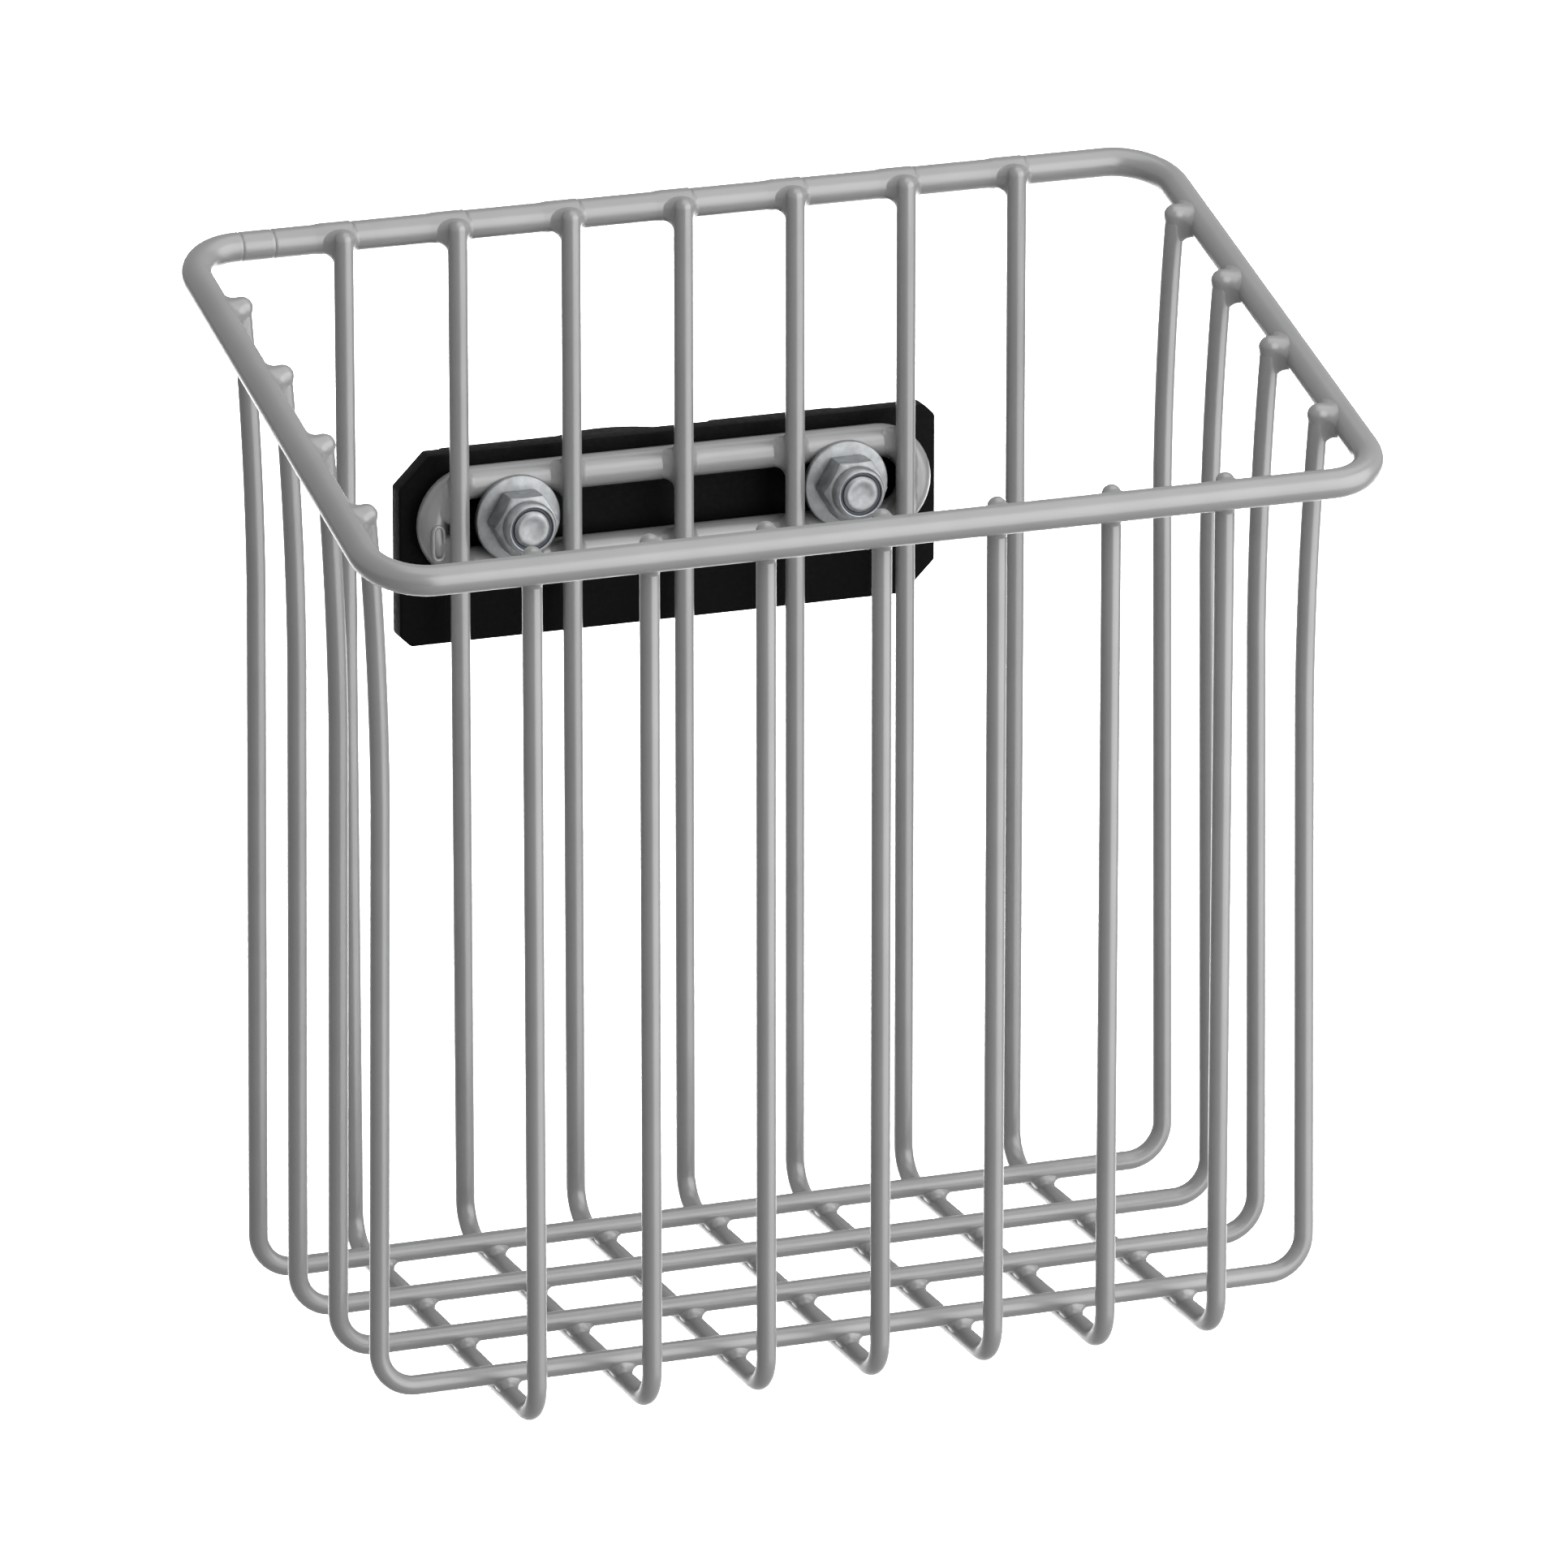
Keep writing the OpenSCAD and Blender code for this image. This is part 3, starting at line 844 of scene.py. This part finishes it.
def nylon_ring(name, x):
    """The ring that the nut's collar holds round the bolt"""
    inner = BOLT_R + THREAD_FIT
    front = COLLAR_Y + 0.55
    return turned(name, x, BOLT_Z, [
        (inner, front + 0.1),
        (inner + 0.2, front - 0.05),
        (RING_R - 0.05, front),
        (RING_R - 0.02, COLLAR_Y + RING_T),
        (inner, COLLAR_Y + RING_T),
        (inner, front + 0.1)])


def threaded_shank(tip_y, plain_y, seat_y, r, pitch, dimple):
    """The profile of a shank from its chamfered tip to the seat, with a groove for each thread"""
    depth = pitch * 0.55
    profile = []
    if dimple:
        profile += [(r * 0.3, tip_y + 0.25), (r * 0.55, tip_y + 0.12), (r * 0.68, tip_y)]
    profile += [(r - 0.75, tip_y), (r - 0.55, tip_y + 0.05), (r - 0.1, tip_y + 0.5)]
    y = tip_y + 0.6
    while y + pitch < plain_y:
        profile += [(r, y), (r, y + pitch * 0.15)]
        profile += [(r - depth, y + pitch * 0.5), (r - depth, y + pitch * 0.65)]
        y += pitch
    profile += [(r, y), (r, seat_y)]
    return profile


def hex_head(name, x, z, af, y_from, y_to):
    """A hex head with its free corners chamfered"""
    corner_r = af / math.sqrt(3)
    face_r = af / 2 * 0.95
    head = hex_bar(name, x, z, af, y_from, y_to)
    rise = (corner_r - face_r) * math.tan(math.radians(30))
    envelope = turned("envelope", x, z, [
        (corner_r + 0.1, y_from - 0.1),
        (corner_r + 0.1, y_to - rise),
        (face_r, y_to)])
    combine(head, envelope, "INTERSECT")
    return head


def loop_bolt(name, x):
    """A hex bolt with a dimple in its end"""
    profile = threaded_shank(BOLT_TIP_Y, BOLT_PLAIN_Y, BOLT_SEAT_Y + 0.3, BOLT_R, BOLT_PITCH, True)
    shank = turned(name, x, BOLT_Z, profile)
    head = hex_head("head", x, BOLT_Z, HEX_AF, BOLT_SEAT_Y, BOLT_SEAT_Y + HEAD_H)
    bolt = join(name, [shank, head])
    bpy.ops.object.shade_smooth_by_angle(angle=math.radians(35))
    return bolt


def pair(name, make, *arguments):
    """Makes the left-hand one, copies it to the right and joins the two as one piece"""
    left = make(name, -BOLT_X, *arguments)
    right = copy_piece(left, name + "_right", (2 * BOLT_X, 0, 0))
    return join(name, [left, right])


nuts = pair("hex_lock_nuts", lock_nut)
dress(nuts, zinc, "zinc_steel", "basket", "lock_nuts")
washers = pair("round_washers", washer)
dress(washers, zinc, "zinc_steel", "basket", "flat_washers")
rings = pair("locking_rings", nylon_ring)
dress(rings, ring_nylon, "nylon_ring", "basket", "nylon_rings")
bolts = pair("hex_bolts", loop_bolt)
dress(bolts, zinc, "zinc_steel", "basket", "loop_bolts")


# The clamp

def cut_block(name, width, height, y_from, y_to, big, small):
    """A block whose four corners, seen from the front, are cut: big at the top left and bottom right"""
    half_w = width / 2
    half_h = height / 2
    piece = block(name, (-half_w, y_from, -half_h), (half_w, y_to, half_h))
    for side, end, cut in [(-1, 1, big), (1, -1, big), (1, 1, small), (-1, -1, small)]:
        cut_corner(piece, (side * (half_w - cut), y_from, end * half_h), Vector((side, 0, end)))
    return piece


def round_edges(piece, radius, segments=3):
    """Rounds every edge that is sharper than 30 degrees"""
    apply_modifier(piece, "BEVEL", width=radius / 1000, segments=segments, limit_method="ANGLE",
                   angle_limit=math.radians(30))


def upright_cylinder(name, r, height, sides=96):
    """A cylinder on the pole's axis, half above and half below the origin"""
    bpy.ops.object.select_all(action="DESELECT")
    bpy.ops.mesh.primitive_cylinder_add(vertices=sides, radius=r / 1000, depth=height / 1000)
    piece = bpy.context.object
    piece.name = name
    return piece


def front_jaw():
    """A plate and a thicker body behind it, with half the bore, the bolts' holes and the inserts' holes"""
    plate = cut_block("front_clamp_jaw", PLATE_W, PLATE_H, JAW_FACE_Y, JAW_FACE_Y + PLATE_T,
                      PLATE_BIG_CUT, PLATE_SMALL_CUT)
    round_edges(plate, FRONT_JAW_EDGE)
    body = cut_block("body", BODY_W, BODY_H, JAW_FACE_Y + 1, JAW_BACK_Y, BODY_CUT, BODY_CUT)
    round_edges(body, FRONT_JAW_EDGE)
    combine(plate, body, "UNION")
    combine(plate, upright_cylinder("bore", POLE_R, BORE_LEN), "DIFFERENCE")
    hole_r = BOLT_R + HOLE_ROOM
    for x in (-BOLT_X, BOLT_X):
        hole = turned("hole", x, BOLT_Z, [(hole_r, JAW_FACE_Y - 1), (hole_r, JAW_BACK_Y + 1)])
        combine(plate, hole, "DIFFERENCE")
        pocket = hex_bar("pocket", x, BOLT_Z, HEX_AF + POCKET_ROOM, BOLT_SEAT_Y, JAW_BACK_Y + 1)
        combine(plate, pocket, "DIFFERENCE")
    for x in (-SCREW_X, SCREW_X):
        hole = turned("hole", x, 0, [(INSERT_R, JAW_BACK_Y - INSERT_LEN), (INSERT_R, JAW_BACK_Y + 1)])
        combine(plate, hole, "DIFFERENCE")
    activate(plate)
    bpy.ops.object.shade_smooth_by_angle(angle=math.radians(30))
    return plate


def rear_jaw():
    """Two ears and a round hump between them, with the other half of the bore and the screws' holes"""
    half_w = REAR_JAW_W / 2
    half_h = REAR_JAW_H / 2
    ears = block("rear_clamp_jaw", (-half_w, EAR_FRONT_Y, -half_h), (half_w, EAR_BACK_Y, half_h))
    round_edges(ears, REAR_JAW_EDGE)
    hump = upright_cylinder("hump", HUMP_R, REAR_JAW_H)
    cut_corner(hump, (0, EAR_FRONT_Y + 0.01, 0), -Y)
    round_edges(hump, REAR_JAW_EDGE)
    combine(ears, hump, "UNION")
    combine(ears, upright_cylinder("bore", POLE_R, BORE_LEN), "DIFFERENCE")
    hole_r = SCREW_R + HOLE_ROOM
    recess_r = SCREW_HEAD_R + HOLE_ROOM
    for x in (-SCREW_X, SCREW_X):
        hole = turned("hole", x, 0, [(hole_r, 0), (hole_r, 20)])
        combine(ears, hole, "DIFFERENCE")
        recess = turned("recess", x, 0, [
            (recess_r, SCREW_SEAT_Y),
            (recess_r, EAR_BACK_Y - 0.4),
            (recess_r + 1, EAR_BACK_Y + 0.6)])
        combine(ears, recess, "DIFFERENCE")
    activate(ears)
    bpy.ops.object.shade_smooth_by_angle(angle=math.radians(30))
    return ears


def insert(name, x):
    """A brass insert with a chamfered mouth and a groove between its two bands"""
    inner = SCREW_R + THREAD_FIT
    back = JAW_BACK_Y
    front = back - INSERT_LEN
    return turned(name, x, 0, [
        (inner, front),
        (INSERT_R - 0.3, front),
        (INSERT_R, front + 0.3),
        (INSERT_R, front + 5),
        (INSERT_R - 0.4, front + 5.4),
        (INSERT_R - 0.4, front + 6.6),
        (INSERT_R, front + 7),
        (INSERT_R, back),
        (inner + 0.5, back),
        (inner, back - 0.5),
        (inner, front)])


def clamp_screw(name, x):
    """A socket head screw with a chamfered head and a hex socket"""
    profile = threaded_shank(SCREW_TIP_Y, SCREW_PLAIN_Y, SCREW_SEAT_Y + 0.2, SCREW_R, SCREW_PITCH, False)
    shank = turned(name, x, 0, profile)
    head = turned("head", x, 0, [
        (SCREW_HEAD_R - 0.3, SCREW_SEAT_Y + SEAT_GAP),
        (SCREW_HEAD_R, SCREW_SEAT_Y + 0.3),
        (SCREW_HEAD_R, EAR_BACK_Y - 0.5),
        (SCREW_HEAD_R - 0.15, EAR_BACK_Y - 0.15),
        (SCREW_HEAD_R - 0.5, EAR_BACK_Y)])
    combine(head, hex_bar("socket", x, 0, SOCKET_AF, EAR_BACK_Y - SOCKET_DEPTH, EAR_BACK_Y + 1), "DIFFERENCE")
    screw = join(name, [shank, head])
    bpy.ops.object.shade_smooth_by_angle(angle=math.radians(35))
    return screw


jaw = front_jaw()
dress(jaw, nylon, "black_nylon", "basket", "front_jaw")
back = rear_jaw()
dress(back, nylon, "black_nylon", "back_jaw", "rear_jaw")
left_insert = insert("brass_inserts", -SCREW_X)
right_insert = copy_piece(left_insert, "insert_right", (2 * SCREW_X, 0, 0))
inserts = join("brass_inserts", [left_insert, right_insert])
dress(inserts, brass, "brass", "basket", "threaded_inserts")
left_screw = clamp_screw("socket_screw_left", -SCREW_X)
right_screw = copy_piece(left_screw, "socket_screw_right", (2 * SCREW_X, 0, 0))
dress(left_screw, oxide, "black_oxide_steel", "left_screw", "left_clamp_screw")
dress(right_screw, oxide, "black_oxide_steel", "right_screw", "right_clamp_screw")


# Studio: a pale floor well below the basket, soft lights above and at the right front, and a light on
# the floor behind

def area_light(name, place, target, size, power, colour, spread=180):
    bpy.ops.object.light_add(type="AREA", location=place)
    light = bpy.context.object
    light.name = name
    light.data.shape = "RECTANGLE"
    light.data.size = size[0]
    light.data.size_y = size[1]
    light.data.energy = power
    light.data.color = linear(colour)[:3]
    light.data.spread = math.radians(spread)
    light.visible_camera = False
    light.rotation_euler = (Vector(target) - Vector(place)).to_track_quat("-Z", "Y").to_euler()


bpy.ops.object.select_all(action="DESELECT")
bpy.ops.mesh.primitive_plane_add(size=40, location=(0, 0, -0.75))
floor = bpy.context.object
floor.name = "studio_floor"
floor_paint, floor_shader = new_material("pale_floor", "#b0b0b0", 0.9, 0.0)
floor.data.materials.append(floor_paint)

basket_middle = (0, -0.09, -0.04)
area_light("softbox_right", (0.87, -1.13, 0.22), basket_middle, (2.2, 1.9), 30.5, "#ffffff")
area_light("softbox_above", (0.2, -0.2, 0.7), basket_middle, (0.9, 0.7), 2.2, "#ffffff")
area_light("floor_light", (0.85, 2.4, 1.0), (0.85, 2.4, -0.75), (2.6, 3.2), 270, "#ffffff", 70)

world = bpy.data.worlds.new("studio")
bpy.context.scene.world = world
world.use_nodes = True
world.node_tree.nodes["Background"].inputs["Color"].default_value = linear("#e5e6e6")
world.node_tree.nodes["Background"].inputs["Strength"].default_value = 0.77
bpy.context.scene.view_settings.view_transform = "Standard"

camera_place = (-0.9109, -2.4782, 0.7671)
camera_turn = (math.radians(72.51), 0, math.radians(-20.89))
bpy.ops.object.camera_add(location=camera_place, rotation=camera_turn)
camera = bpy.context.object
camera.data.sensor_width = 36
camera.data.lens = 292.04
bpy.context.scene.camera = camera
